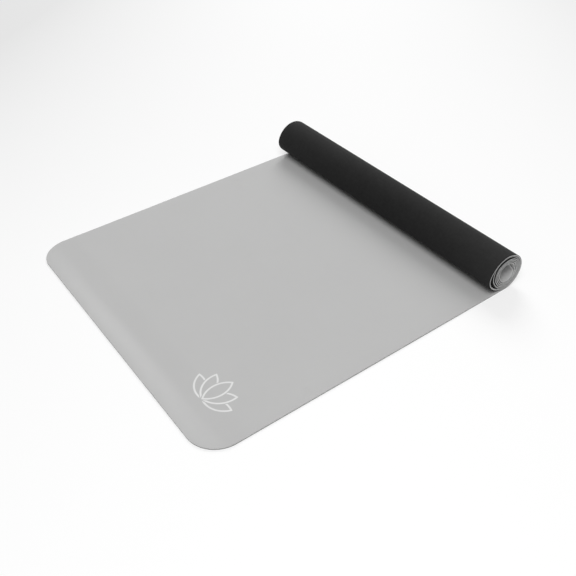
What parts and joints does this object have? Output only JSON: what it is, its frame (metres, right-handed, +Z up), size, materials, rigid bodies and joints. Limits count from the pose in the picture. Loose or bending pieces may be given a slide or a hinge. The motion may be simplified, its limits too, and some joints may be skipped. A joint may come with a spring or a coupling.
{
  "type": "yoga mat",
  "caption": "Two-layer exercise mat, its front half laid flat on the floor and the rest wound into a loose roll at the far end.",
  "frame": {"origin": "on the floor, under the middle of the part's outer box", "axes": "+X across the mat, to the right when seen from the front edge; +Y from the front edge towards the roll; +Z up"},
  "size_m": [0.61, 0.641, 0.0747],
  "materials": {
    "black_rubber": "matt black foamed rubber with a fine pebbled grain",
    "grey_foam": "matt light grey foam, smooth and dry to the touch"
  },
  "bodies": {
    "root": {"rubber_base": "black_rubber", "top_layer": "grey_foam"}
  },
  "joints": []
}
